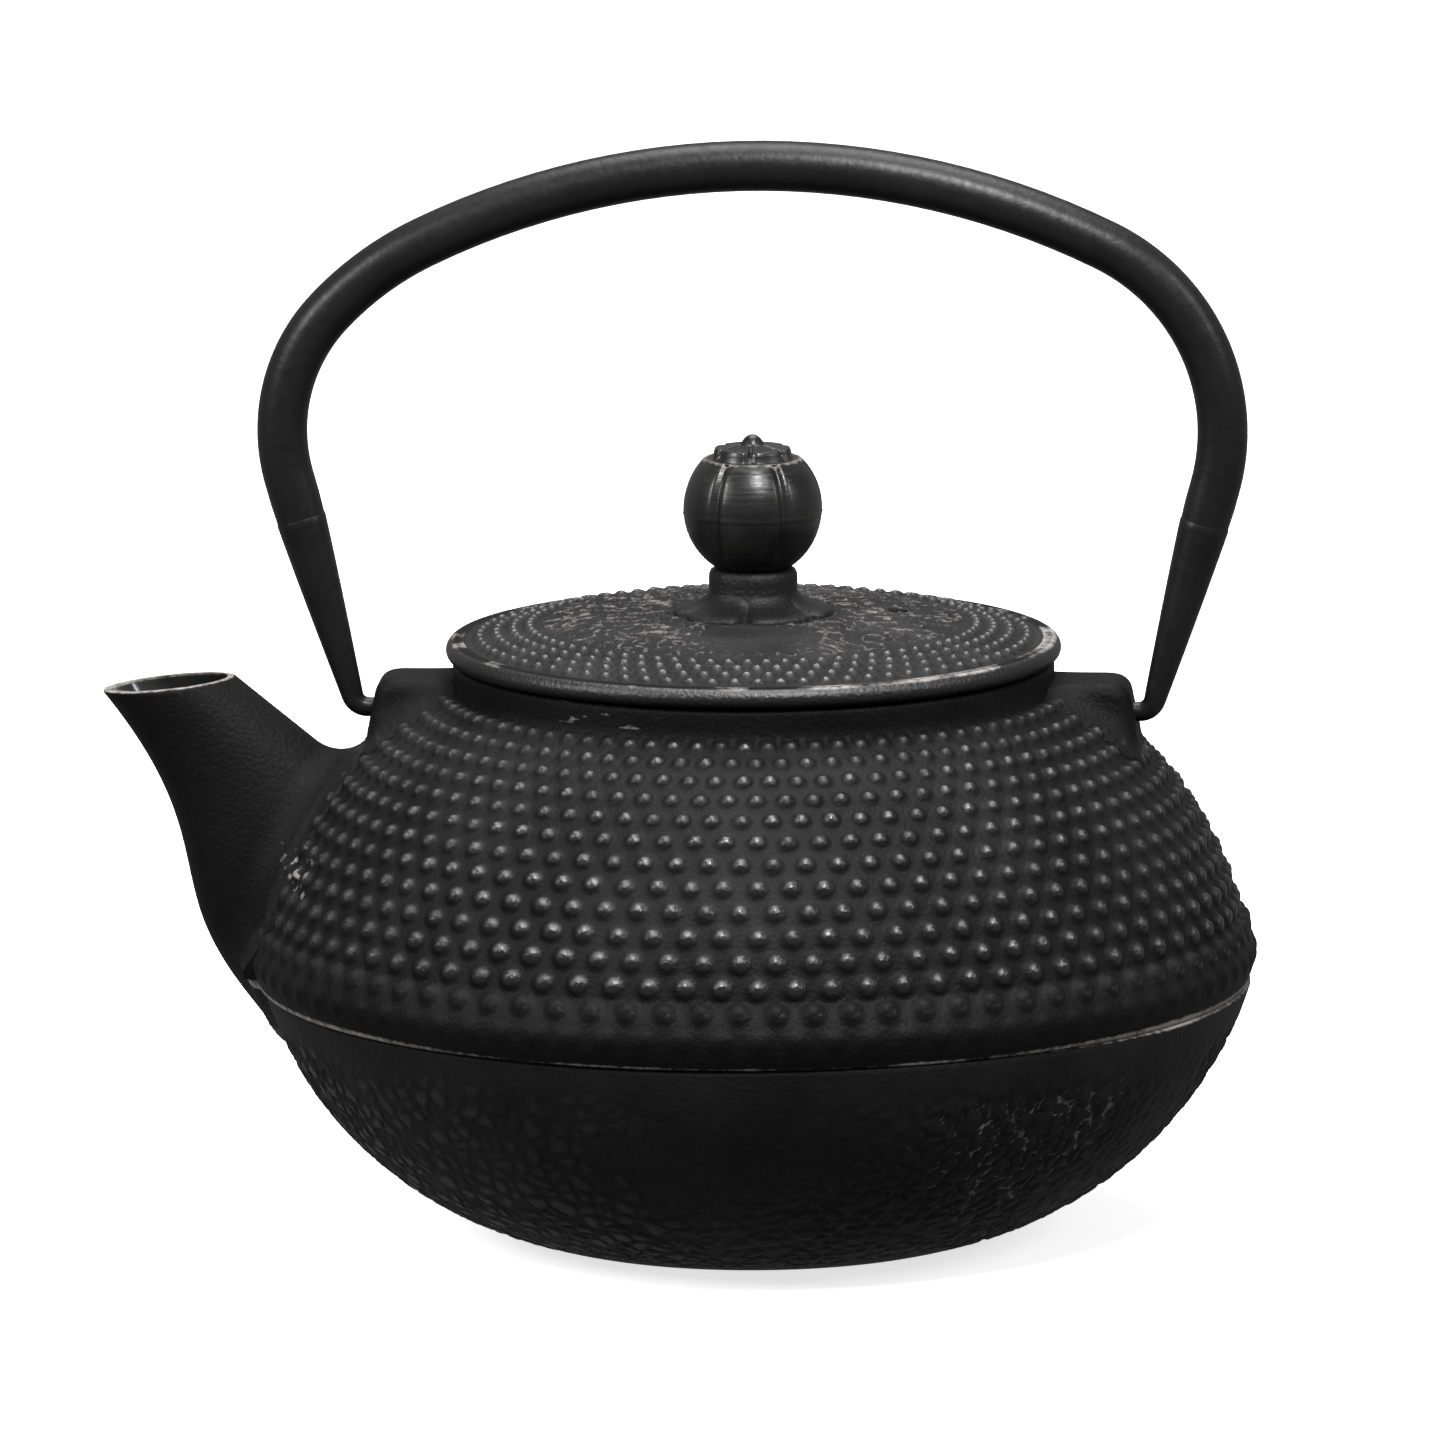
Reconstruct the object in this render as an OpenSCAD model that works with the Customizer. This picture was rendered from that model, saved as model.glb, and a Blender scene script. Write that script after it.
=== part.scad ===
// Cast iron teapot: hobnail pot with a curved spout, a bail handle that swings in two cast ears,
// a lift-off lid with a screwed-on knob, and a mesh infuser that hangs in the mouth.
// Millimetres. The origin is the centre of the resting face, +Z is up, the spout points to -X.

/* [Pot] */
// Radius of the arc that the lower bowl follows in section
bowl_arc_r = 58.3; // [58:0.1:58.8]
// Radius of the arc that the shoulder follows in section
shoulder_arc_r = 55.2; // [55:0.1:55.6]
// Largest radius of the pot, at the bead around its waist
waist_r = 80.1; // [79.6:0.1:80.4]
// Height of the middle of the waist bead
waist_z = 44.5; // [44:0.1:45]
// Thickness of the iron wall
wall = 3; // [2.8:0.1:3.2]
// Thickness of the enamel inside
enamel = 0.4; // [0.3:0.05:0.5]

/* [Mouth] */
// Outer radius of the collar around the mouth
collar_r = 47.7; // [47:0.1:48.2]
// Height of the collar's top
collar_top = 91.7; // [91.2:0.1:91.9]
// Radius of the recess in the collar
mouth_r = 41; // [40.8:0.1:42]
// Height of the ledge that carries the infuser
ledge_z = 87; // [86.7:0.1:87.1]
// Radius of the opening below the ledge
throat_r = 36.5; // [36:0.1:37]

/* [Spout] */
// Half of the spout's width at its root
spout_root_half_w = 15; // [13:0.5:16]
// Half of the spout's width at its lip
spout_lip_half_w = 8; // [7:0.5:9]
// Thickness of the spout's wall at its root
spout_root_wall = 3.5; // [3:0.1:4]
// Thickness of the spout's wall at its lip
spout_lip_wall = 1.4; // [1.2:0.1:1.8]

/* [Ears and handle] */
// Width of an ear, front to back
ear_w = 13; // [11:0.5:14]
// Height of the axis that the handle swings about
pivot_z = 83.6; // [83.2:0.1:84]
// Radius of the hooks' pins
pin_r = 1.5; // [1.4:0.05:1.5]
// Running clearance around a pin
pin_gap = 0.1; // [0.05:0.01:0.1]
// Height of the handle tube's centreline at its highest point
arch_z = 170.7; // [170:0.1:171]
// Outer radius of the handle tube
tube_r = 4; // [3.8:0.1:4.2]
// Wall of the handle tube
tube_wall = 1; // [0.8:0.1:1.2]
// Height at which the tube meets its tapered ends
seam_z = 114; // [113.5:0.1:114.5]

/* [Lid and knob] */
// Outer radius of the lid
lid_r = 48.8; // [48.4:0.1:49]
// Height of the lid's rim above its underside
lid_rim_h = 3.2; // [3:0.1:3.4]
// Height of the flat at the lid's centre
lid_crown_z = 99.2; // [98.8:0.1:99.4]
// Thickness of the lid
lid_wall = 3; // [2.6:0.1:3.2]
// Radius of the steam vent
vent_r = 1.6; // [1.4:0.1:1.8]
// Radius of the round knob
knob_r = 11.2; // [11:0.1:11.4]
// Nominal radius of the knob's screw
screw_r = 1.95; // [1.9:0.05:1.95]

/* [Infuser] */
// Outer radius of the mesh wall
basket_r = 33.5; // [33:0.1:33.7]
// Height of the basket's underside
basket_z = 56; // [55.5:0.1:57]
// Thickness of the mesh
mesh_t = 0.5; // [0.4:0.05:0.6]
// Thickness of the pressed steel
steel_t = 0.6; // [0.5:0.05:0.7]

/* [Hidden] */

$fn = 96;
iron = [0.09, 0.085, 0.085];
satin_black = [0.05, 0.05, 0.055];
steel = [0.72, 0.73, 0.74];

// section of the pot
bowl_c = [22.7, 56.9];
shoulder_c = [23.5, 37.26];
waist_arc_r = 7;
waist_c = [waist_r - waist_arc_r, waist_z];
waist_foot_z = waist_z - 3.8;
waist_top_z = waist_z + 4.9;
part_line_z = waist_foot_z - 0.7;
shoulder_end_z = 86.2;
collar_edge = 0.8;
ledge_t = 3.8;

// spout: the top outline is straight, the bottom one is a cubic curve
spout_top = [[-58.7, 69.2], [-82.7, 88.5]];
spout_bottom = [[-74.6, 31], [-98.6, 53], [-81.9, 59], [-103.9, 86.2]];
spout_rings = 14;
spout_sides = 24;

// ears
ear_in = 45;
ear_out = 61;
ear_top = 89;
ear_foot_z = 74;
ear_corner_r = 3;
ear_edge_r = 3.5;
pin_hole_x = 53.5;

// handle: [radius, angle] of each arc from the top of the arch down to the leg, in millimetres
// and degrees; a leg leans inwards by leg_lean
arch_x = 2;
back_arcs = [[123, 26], [33, 79.6]];
spout_arcs = [[123, 26], [52, 21], [28, 58.6]];
leg_lean = 15.6;
arc_step = 7;
tube_sides = 18;
spigot_l = 5;
spigot_gap = 0.1;
hook_bend_r = 2.6;
hook_root_r = 1.77;
hook_tip_r = 1.6;
pin_in = 55;
pin_out = 61.9;

// lid, knob and screw
lid_z = collar_top + 0.3;
lid_rim_in = 45.5;
crown_r = 13.2;
flange_r = [38, 40];
flange_l = 1.8;
vent_at = [22.7, 4];
lid_underside = lid_crown_z - lid_wall;
seat_r = 12.7;
seat_neck_r = 7;
seat_top = 106.5;
knob_z = 116;
knob_top = 124;
petals = 6;
flower_r = 6;
boss_top = 127.8;
screw_hole_r = 2;
screw_top = 114;
screw_head = [3.8, 2.4];
washer = [5.5, 0.8];

// infuser
rim_r = 40.4;
rim_z = ledge_z + 0.3;
rim_skirt = 4.6;
hoop_h = 4;
hoop_lip = 2.2;

function lerp(a, b, t) = a + (b - a) * t;

// points on the outer half of a circle in section, from height z0 to height z1
function section_arc(c, r, z0, z1, n) =
    let (a0 = asin((z0 - c[1]) / r), a1 = asin((z1 - c[1]) / r))
    [for (i = [0:n]) let (a = lerp(a0, a1, i / n)) c + r * [cos(a), sin(a)]];

function bezier(p, t) =
    pow(1 - t, 3) * p[0] + 3 * pow(1 - t, 2) * t * p[1] + 3 * (1 - t) * t * t * p[2] + pow(t, 3) * p[3];

// faces of a closed skin over rings of n points each, capped at both ends
function skin(rings, n) = concat(
    [[for (j = [n - 1:-1:0]) j]],
    [for (i = [0:rings - 2], j = [0:n - 1])
        let (a = i * n + j, b = i * n + (j + 1) % n) [a, b, b + n, a + n]],
    [[for (j = [0:n - 1]) (rings - 1) * n + j]]);

// ---- pot ----

function pot_outline() = concat(
    [[0, 0]],
    section_arc(bowl_c, bowl_arc_r, 0, part_line_z, 14),
    section_arc(waist_c, waist_arc_r, waist_foot_z, waist_top_z, 8),
    section_arc(shoulder_c, shoulder_arc_r, waist_top_z + 0.4, shoulder_end_z, 14),
    [[collar_r, 87.6], [collar_r, collar_top - collar_edge],
     [collar_r - collar_edge, collar_top], [0, collar_top]]);

// the room inside the pot, inset by t from the iron, up to the height top
function room_outline(t, top) = concat(
    [[0, wall + t]],
    section_arc(bowl_c, bowl_arc_r - wall - t, wall + t, part_line_z, 12),
    [[waist_r - wall - 1.5 - t, waist_z]],
    section_arc(shoulder_c, shoulder_arc_r - wall - t, waist_top_z, ledge_z - ledge_t - t, 12),
    [[throat_r - t, ledge_z - ledge_t - t], [throat_r - t, top], [0, top]]);

// one ring of the spout at t along it, inset by d all round and moved out by over
function spout_ring(t, d, over) = let (
    top = lerp(spout_top[0], spout_top[1], t),
    bottom = bezier(spout_bottom, t),
    middle = (top + bottom) / 2,
    reach = norm(bottom - top) / 2,
    along = (bottom - top) / (2 * reach),
    out = [along[1], -along[0]] * over,
    half_w = lerp(spout_root_half_w, spout_lip_half_w, sqrt(t)))
    [for (j = [0:spout_sides - 1]) let (
        a = 360 * j / spout_sides,
        p = middle + along * (reach - d) * cos(a) + out)
        [p[0], (half_w - d) * sin(a), p[1]]];

// solid spout, inset by inset plus the spout's own wall when hollow is 1, and carried on past the
// lip by over
module spout_solid(hollow, inset, over) {
    steps = [for (i = [0:spout_rings]) i / spout_rings];
    rings = concat(
        [for (t = steps) spout_ring(t, hollow * lerp(spout_root_wall, spout_lip_wall, t) + inset, 0)],
        over > 0 ? [spout_ring(1, hollow * spout_lip_wall + inset, over)] : []);
    polyhedron([for (r = rings, p = r) p], skin(len(rings), spout_sides));
}

module hollow(inset, top, over) {
    rotate_extrude() polygon(room_outline(inset, top));
    spout_solid(1, inset, over);
}

function ear_outline() = concat(
    [[ear_in, ear_foot_z], [ear_in, ear_top]],
    [for (a = [90:-18:0]) [ear_out - ear_corner_r - 0.6, ear_top - ear_corner_r]
        + ear_corner_r * [cos(a), sin(a)]],
    [[ear_out, pivot_z + 1], [ear_out, ear_foot_z]]);

// ear on the +X side: its side view cut to a plan with rounded outer corners
module ear() {
    intersection() {
        rotate([90, 0, 0])
            linear_extrude(ear_w, center = true)
                polygon(ear_outline());
        translate([0, 0, ear_foot_z - 1])
            linear_extrude(ear_top - ear_foot_z + 2)
                union() {
                    translate([ear_in - 1, -ear_w / 2])
                        square([ear_out - ear_edge_r - ear_in + 1, ear_w]);
                    translate([ear_in - 1, -ear_w / 2 + ear_edge_r])
                        square([ear_out - ear_in + 2, ear_w - 2 * ear_edge_r]);
                    for (side = [-1, 1])
                        translate([ear_out - ear_edge_r, side * (ear_w / 2 - ear_edge_r)])
                            circle(ear_edge_r);
                }
    }
}

module pin_hole() {
    translate([pin_hole_x, 0, pivot_z])
        rotate([0, 90, 0])
            cylinder(h = ear_out - pin_hole_x + 1, r = pin_r + pin_gap);
}

module body() {
    color(iron)
        difference() {
            union() {
                rotate_extrude() polygon(pot_outline());
                spout_solid(0, 0, 0);
                ear();
                mirror([1, 0, 0]) ear();
            }
            hollow(0, ledge_z + 1, 1);
            translate([0, 0, ledge_z])
                cylinder(h = collar_top - ledge_z + 1, r = mouth_r);
            pin_hole();
            mirror([1, 0, 0]) pin_hole();
        }
}

module enamel_lining() {
    color(satin_black)
        difference() {
            hollow(0, ledge_z, 0);
            hollow(enamel, ledge_z + 1, 1);
        }
}

// ---- lid and knob ----

// height of the lid's domed top at radius r
function lid_dome(r) = lerp(lid_crown_z, lid_z + lid_rim_h, pow((r - crown_r) / (lid_rim_in - crown_r), 2));

function dome_points(drop, r0, r1, n) =
    [for (i = [0:n]) let (r = lerp(r0, r1, i / n)) [r, lid_dome(r) - drop]];

module lid() {
    edge = lid_rim_h / 2;
    color(iron)
        difference() {
            rotate_extrude()
                polygon(concat(
                    [[0, lid_underside], [0, lid_crown_z]],
                    dome_points(0, crown_r, lid_rim_in, 8),
                    [for (a = [90:-22.5:-90]) [lid_r - edge, lid_z + edge] + edge * [cos(a), sin(a)]],
                    [[flange_r[1], lid_z], [flange_r[1], lid_z - flange_l],
                     [flange_r[0], lid_z - flange_l]],
                    dome_points(lid_wall, 36.5, crown_r, 6)));
            translate([0, 0, lid_underside - 1])
                cylinder(h = lid_wall + 2, r = screw_hole_r + 0.2);
            translate([vent_at[0], vent_at[1], lid_z])
                cylinder(h = lid_wall + 8, r = vent_r);
        }
}

module knob_seat() {
    flare = [for (a = [0:15:75])
        [seat_r - (seat_r - seat_neck_r) * sin(a), lid_crown_z + 3.6 - 2.9 * cos(a)]];
    color(iron)
        difference() {
            rotate_extrude()
                polygon(concat(
                    [[screw_hole_r + 0.2, lid_crown_z], [seat_r, lid_crown_z]],
                    flare,
                    [[seat_neck_r, seat_top - 0.8], [seat_neck_r - 0.8, seat_top],
                     [screw_hole_r + 0.2, seat_top]]));
            for (i = [0:petals - 1])
                rotate([0, 0, 60 * i + 30])
                    translate([seat_r + 0.4, 0, lid_crown_z - 1])
                        cylinder(h = 6, r = 1.6);
        }
}

module knob() {
    color(satin_black)
        difference() {
            union() {
                intersection() {
                    translate([0, 0, knob_z]) sphere(knob_r);
                    translate([0, 0, seat_top]) cylinder(h = knob_top - seat_top, r = knob_r + 1);
                }
                for (i = [0:petals - 1])
                    rotate([0, 0, 60 * i])
                        translate([flower_r / 2 + 0.9, 0, knob_top - 1])
                            cylinder(h = 3, r = 2.1);
                translate([0, 0, knob_top - 1]) cylinder(h = boss_top - knob_top + 1, r = 2);
            }
            translate([0, 0, seat_top - 1]) cylinder(h = screw_top - seat_top + 2, r = screw_hole_r);
        }
}

module knob_screw() {
    head_z = lid_underside - washer[1] - screw_head[1];
    color(steel)
        difference() {
            union() {
                translate([0, 0, head_z]) cylinder(h = screw_head[1], r = screw_head[0]);
                translate([0, 0, head_z + 1]) cylinder(h = screw_top - head_z - 1, r = screw_r);
            }
            for (turn = [0, 90])
                rotate([0, 0, turn])
                    translate([-2.2, -0.4, head_z - 1])
                        cube([4.4, 0.8, 2.2]);
        }
}

module knob_washer() {
    color(steel)
        translate([0, 0, lid_underside - washer[1]])
            difference() {
                cylinder(h = washer[1], r = washer[0]);
                translate([0, 0, -1]) cylinder(h = washer[1] + 2, r = screw_hole_r + 0.2);
            }
}

// ---- handle ----

// points [x, z, heading] down a chain of arcs that starts level at the top of the arch;
// the heading is in degrees clockwise from +X
function arc_chain(arcs, i, from) = let (
    r = arcs[i][0],
    steps = ceil(arcs[i][1] / arc_step),
    points = [for (k = [1:steps]) let (h = from[2] + arcs[i][1] * k / steps)
        [from[0] + r * (sin(h) - sin(from[2])), from[1] + r * (cos(h) - cos(from[2])), h]])
    concat(points, i + 1 < len(arcs) ? arc_chain(arcs, i + 1, points[steps - 1]) : []);

// the chain and the straight leg below it, down to the seam
function half_handle(arcs, side) = let (
    chain = arc_chain(arcs, 0, [0, arch_z, 0]),
    last = chain[len(chain) - 1],
    drop = last[1] - seam_z)
    concat(chain, [[last[0] - drop * tan(leg_lean), seam_z, last[2]]]);

function flip(points) = [for (i = [len(points) - 1:-1:0]) [-points[i][0], points[i][1], -points[i][2]]];

back_half = half_handle(back_arcs);
spout_half = half_handle(spout_arcs);
back_leg_x = arch_x + back_half[len(back_half) - 1][0];
spout_leg_x = -arch_x + spout_half[len(spout_half) - 1][0];
handle_path = concat(flip(spout_half), [[0, arch_z, 0]], back_half);

// ring of n points round a path point [x, z, heading]
function path_ring(p, r, n) = [for (j = [0:n - 1]) let (a = 360 * j / n)
    [p[0] + r * cos(a) * sin(p[2]), r * sin(a), p[1] + r * cos(a) * cos(p[2])]];

module handle_tube() {
    n = tube_sides;
    rings = len(handle_path);
    outer = [for (p = handle_path, q = path_ring(p, tube_r, n)) q];
    inner = [for (p = handle_path, q = path_ring(p, tube_r - tube_wall, n)) q];
    sides = [for (i = [0:rings - 2], j = [0:n - 1])
        let (a = i * n + j, b = i * n + (j + 1) % n) [a, b, b + n, a + n]];
    count = rings * n;
    bore = [for (f = sides) [f[3] + count, f[2] + count, f[1] + count, f[0] + count]];
    ends = [for (j = [0:n - 1]) let (k = (j + 1) % n) each [
        [k, j, j + count, k + count],
        [count - n + j, count - n + k, 2 * count - n + k, 2 * count - n + j]]];
    color(satin_black)
        translate([arch_x, 0, 0])
            polyhedron(concat(outer, inner), concat(sides, bore, ends));
}

// tapered end with its hook, for the +X side; leg_x is where the leg meets the tube
module handle_end(leg_x) {
    turn = 90 - leg_lean;
    bend_z = pivot_z + hook_bend_r * (1 - sin(leg_lean));
    bend_x = leg_x - (seam_z - bend_z) * tan(leg_lean);
    bend = [for (k = [1:5]) let (h = 90 + leg_lean + turn * k / 5)
        [bend_x + hook_bend_r * (sin(h) - cos(leg_lean)),
         bend_z + hook_bend_r * (cos(h) + sin(leg_lean)), h]];
    leg_tip = [bend_x, bend_z, 90 + leg_lean];
    n = tube_sides;
    rings = concat(
        [path_ring([leg_x, seam_z, 90 + leg_lean], tube_r, n), path_ring(leg_tip, hook_root_r, n)],
        [for (k = [0:4]) path_ring(bend[k], lerp(hook_root_r, hook_tip_r, (k + 1) / 5), n)]);
    polyhedron([for (r = rings, p = r) p], skin(len(rings), n));
    translate([leg_x, 0, seam_z])
        rotate([0, leg_lean, 0])
            translate([0, 0, -1])
                cylinder(h = spigot_l + 1, r = tube_r - tube_wall - spigot_gap);
    translate([pin_in, 0, pivot_z])
        rotate([0, 90, 0])
            cylinder(h = pin_out - pin_in, r = pin_r);
}

module handle_end_spout_side() {
    color(satin_black) mirror([1, 0, 0]) handle_end(spout_leg_x);
}

module handle_end_back() {
    color(satin_black) handle_end(back_leg_x);
}

// ---- infuser ----

module ring_between(r_in, r_out, z0, z1) {
    translate([0, 0, z0])
        difference() {
            cylinder(h = z1 - z0, r = r_out);
            translate([0, 0, -1]) cylinder(h = z1 - z0 + 2, r = r_in);
        }
}

module infuser_rim() {
    color(steel) {
        rotate_extrude()
            polygon([[basket_r, rim_z - rim_skirt], [basket_r + steel_t, rim_z - rim_skirt],
                     [basket_r + steel_t, rim_z], [rim_r, rim_z], [rim_r, rim_z + steel_t],
                     [basket_r, rim_z + steel_t]]);
    }
}

module infuser_wall() {
    color(steel) ring_between(basket_r - mesh_t, basket_r, basket_z + steel_t, rim_z + steel_t);
}

module infuser_hoop() {
    color(steel) {
        rotate_extrude()
            polygon([[basket_r - hoop_lip, basket_z], [basket_r + steel_t, basket_z],
                     [basket_r + steel_t, basket_z + hoop_h], [basket_r, basket_z + hoop_h],
                     [basket_r, basket_z + steel_t], [basket_r - hoop_lip, basket_z + steel_t]]);
    }
}

module infuser_floor() {
    color(steel)
        translate([0, 0, basket_z + steel_t])
            cylinder(h = mesh_t, r = basket_r - mesh_t);
}

body();
enamel_lining();
lid();
knob_seat();
knob();
knob_screw();
knob_washer();
handle_tube();
handle_end_spout_side();
handle_end_back();
infuser_rim();
infuser_wall();
infuser_hoop();
infuser_floor();
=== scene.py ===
"""Cast iron teapot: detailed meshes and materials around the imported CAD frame.

Shapes are worked out in millimetres in the row frame (origin under the pot's centre, +Z up, spout
towards -X) and scaled to metres when a mesh is made.
"""

from math import asin, cos, pi, radians, sin, sqrt, tan

import bmesh
import bpy
import numpy as np
from mathutils import Matrix, Vector, noise


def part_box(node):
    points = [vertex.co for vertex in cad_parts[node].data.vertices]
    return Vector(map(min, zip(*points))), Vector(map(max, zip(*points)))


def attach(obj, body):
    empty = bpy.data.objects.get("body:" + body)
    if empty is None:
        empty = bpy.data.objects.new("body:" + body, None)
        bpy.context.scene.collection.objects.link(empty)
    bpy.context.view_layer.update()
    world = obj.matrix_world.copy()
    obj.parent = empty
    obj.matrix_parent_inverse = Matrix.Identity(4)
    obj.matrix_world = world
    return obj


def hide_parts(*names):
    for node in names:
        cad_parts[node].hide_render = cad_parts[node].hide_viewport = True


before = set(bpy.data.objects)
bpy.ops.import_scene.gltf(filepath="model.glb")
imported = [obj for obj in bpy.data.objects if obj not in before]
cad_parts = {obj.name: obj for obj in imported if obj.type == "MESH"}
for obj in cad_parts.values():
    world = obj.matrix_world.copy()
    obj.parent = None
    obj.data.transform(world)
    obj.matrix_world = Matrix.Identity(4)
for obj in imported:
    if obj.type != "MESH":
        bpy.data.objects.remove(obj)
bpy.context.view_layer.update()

MM = 0.001
rng = np.random.default_rng(7)

# ---- dimensions, in millimetres ----

def corners(node):
    """Lowest and highest corners of a CAD node, in millimetres."""
    low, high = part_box(node)
    return np.array(low) / MM, np.array(high) / MM


BODY_LOW, BODY_HIGH = corners("body")
LID_LOW, LID_HIGH = corners("lid")
BASKET_LOW, BASKET_HIGH = corners("infuser_wall")
SEAT_HIGH = corners("knob_seat")[1]
KNOB_HIGH = corners("knob")[1]
TUBE_HIGH = corners("handle_tube")[1]
RIM_HIGH = corners("infuser_rim")[1]

# pot: the circles its section is made of, as a centre (r, z) and a radius, and where they meet
BOWL_C, BOWL_R = (22.7, 56.9), 58.3
SHOULDER_C, SHOULDER_R = (23.5, 37.26), 55.2
WAIST_R = 7.0
WAIST_C = (BODY_HIGH[1] - WAIST_R - 0.35, 44.5)
WAIST_FOOT_Z, WAIST_TOP_Z, SHOULDER_END_Z = 40.7, 49.4, 86.2
SEAM_Z = WAIST_FOOT_Z - 0.7
COLLAR_R, COLLAR_TOP = 47.7, BODY_HIGH[2]
MOUTH_R, THROAT_R, LEDGE_T = 41.0, 36.5, 3.8
LEDGE_Z = RIM_HIGH[2] - 0.9
WALL, ENAMEL, ROOM_WAIST_R = 3.0, 0.4, 75.6
MOULD_SHIFT = 0.3  # how far the two halves of the mould were out of line

# nubs on the shoulder: how many in a row, and the angles of the first and last row on its circle
NUBS, NUB_ROWS = 84, 13
NUB_FIRST_DEG, NUB_LAST_DEG = 12.6, 62.2
NUB_LOW_Z, NUB_HIGH_Z, NUB_REACH = 42, 88, 5

# spout: its top line, the Bezier curve of its bottom line, half widths and walls at root and mouth
SPOUT_TOP = np.array([[-58.7, 69.2], [-82.7, 88.5]])
SPOUT_BOTTOM = np.array([[-74.6, 31], [-98.6, 53], [-81.9, 59], [BODY_LOW[0], 86.2]])
SPOUT_HALF_W = (15.0, 8.0)
SPOUT_WALL = (3.5, 1.4)

# ears and the hook pins that turn in them
EAR_TOP, EAR_OUT, EAR_W, EAR_ROOT_X, EAR_FOOT_Z = 89.0, 61.0, 13.0, 44.5, 70
PIVOT_Z, PIN_R, PIN_ROOT_X, PIN_END_X = 83.6, 1.5, 60.4, 55
PIN_HOLE_R, PIN_HOLE_END_X = PIN_R + 0.1, 53.5

# handle: arcs from the top of the arch down each side, as (radius, degrees)
TUBE_R = 4.0
ARCH_X, ARCH_Z, TUBE_END_Z = 2.0, TUBE_HIGH[2] - TUBE_R, 114.0
BACK_ARCS = ((123, 26), (33, 79.6))
SPOUT_ARCS = ((123, 26), (52, 21), (28, 58.6))
LEG_LEAN = 15.6
HOOK_BEND_R, HOOK_ROOT_R, HOOK_TIP_R = 2.6, 1.77, 1.55
TUBE_EDGE = 0.12  # how much smaller the tube and the hook are at their joint line

# lid, knob and knob seat
LID_R, LID_CROWN_Z, FLANGE_Z = LID_HIGH[0], LID_HIGH[2], LID_LOW[2]
LID_Z, LID_RIM_H, LID_WALL = COLLAR_TOP + 0.3, 3.2, 3.0
LID_RIM_IN, CROWN_R, VENT = 45.5, 13.2, (22.7, 4.0, 1.6)  # the vent's x, y and radius
LID_NUBS, LID_NUB_RINGS, RIDGES_R = 76, (43.6, 40.9, 38.2, 35.6), 34.6
SEAT_R, SEAT_TOP = SEAT_HIGH[0], SEAT_HIGH[2]
KNOB_Z, KNOB_R, KNOB_TOP, BOSS_TOP = 116.0, KNOB_HIGH[0], 124.0, KNOB_HIGH[2]
PETALS = 6

# infuser
BASKET_R, BASKET_Z, BASKET_TOP = BASKET_HIGH[0], BASKET_LOW[2], BASKET_HIGH[2]
MESH_BAR, MESH_THICK = 0.30, 0.35


# ---- mesh helpers ----

def lerp(a, b, t):
    return a + (b - a) * t


def smooth(x, lo, hi):
    t = np.clip((x - lo) / (hi - lo), 0, 1)
    return t * t * (3 - 2 * t)


def section_arc(centre, r, z0, z1, step):
    """Points (r, z) on the outer half of a circle, from height z0 to z1, about step apart."""
    a0, a1 = asin((z0 - centre[1]) / r), asin((z1 - centre[1]) / r)
    n = max(2, int(abs(a1 - a0) * r / step))
    a = np.linspace(a0, a1, n + 1)
    return np.column_stack([centre[0] + r * np.cos(a), centre[1] + r * np.sin(a)])


def new_object(name, verts, faces):
    """A mesh object from points in millimetres."""
    mesh = bpy.data.meshes.new(name)
    mesh.from_pydata((np.asarray(verts) * MM).tolist(), [], faces)
    mesh.update()
    ob = bpy.data.objects.new(name, mesh)
    bpy.context.scene.collection.objects.link(ob)
    return ob


def grid_faces(rows, cols):
    """Quads over rows x cols points, closed across the columns."""
    i, j = np.meshgrid(np.arange(rows - 1), np.arange(cols), indexing="ij")
    a = i * cols + j
    b = i * cols + (j + 1) % cols
    return np.stack([a, b, b + cols, a + cols], axis=-1).reshape(-1, 4).tolist()


def skin(name, rings):
    """A closed mesh over rings (rows x cols x 3), with a fan at each end."""
    rows, cols = rings.shape[:2]
    verts = np.concatenate([rings.reshape(-1, 3), [rings[0].mean(0)], [rings[-1].mean(0)]])
    faces = grid_faces(rows, cols)
    first, last = rows * cols, rows * cols + 1
    for j in range(cols):
        k = (j + 1) % cols
        faces.append([k, j, first])
        faces.append([(rows - 1) * cols + j, (rows - 1) * cols + k, last])
    ob = new_object(name, verts, faces)
    bm = bmesh.new()
    bm.from_mesh(ob.data)
    bmesh.ops.recalc_face_normals(bm, faces=bm.faces)
    bm.to_mesh(ob.data)
    bm.free()
    return ob


def revolve(name, profile, cols):
    """A closed solid of revolution; the profile runs from the axis back to the axis."""
    a = np.linspace(0, 2 * pi, cols, endpoint=False)
    p = np.asarray(profile, float)
    rings = np.stack([np.outer(p[:, 0], np.cos(a)), np.outer(p[:, 0], np.sin(a)),
                      np.repeat(p[:, 1:2], cols, 1)], axis=-1)
    return skin(name, rings)


def boolean(ob, other, operation):
    """Joins other to ob or cuts it out of ob, and deletes other."""
    mod = ob.modifiers.new("cut", "BOOLEAN")
    mod.object = other
    mod.operation = operation
    mod.solver = "MANIFOLD"
    bpy.context.view_layer.update()
    depsgraph = bpy.context.evaluated_depsgraph_get()
    mesh = bpy.data.meshes.new_from_object(ob.evaluated_get(depsgraph))
    ob.modifiers.clear()
    ob.data = mesh
    bpy.data.objects.remove(other)


def coords(ob):
    """The mesh's points in millimetres, one per row."""
    co = np.empty(len(ob.data.vertices) * 3)
    ob.data.vertices.foreach_get("co", co)
    return co.reshape(-1, 3) / MM


def set_attribute(ob, name, values):
    attribute = ob.data.attributes.new(name, "FLOAT", "POINT")
    attribute.data.foreach_set("value", np.asarray(values, np.float32))


def shade(ob, angle=40):
    ob.data.shade_smooth()
    ob.data.set_sharp_from_angle(angle=radians(angle))


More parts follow.
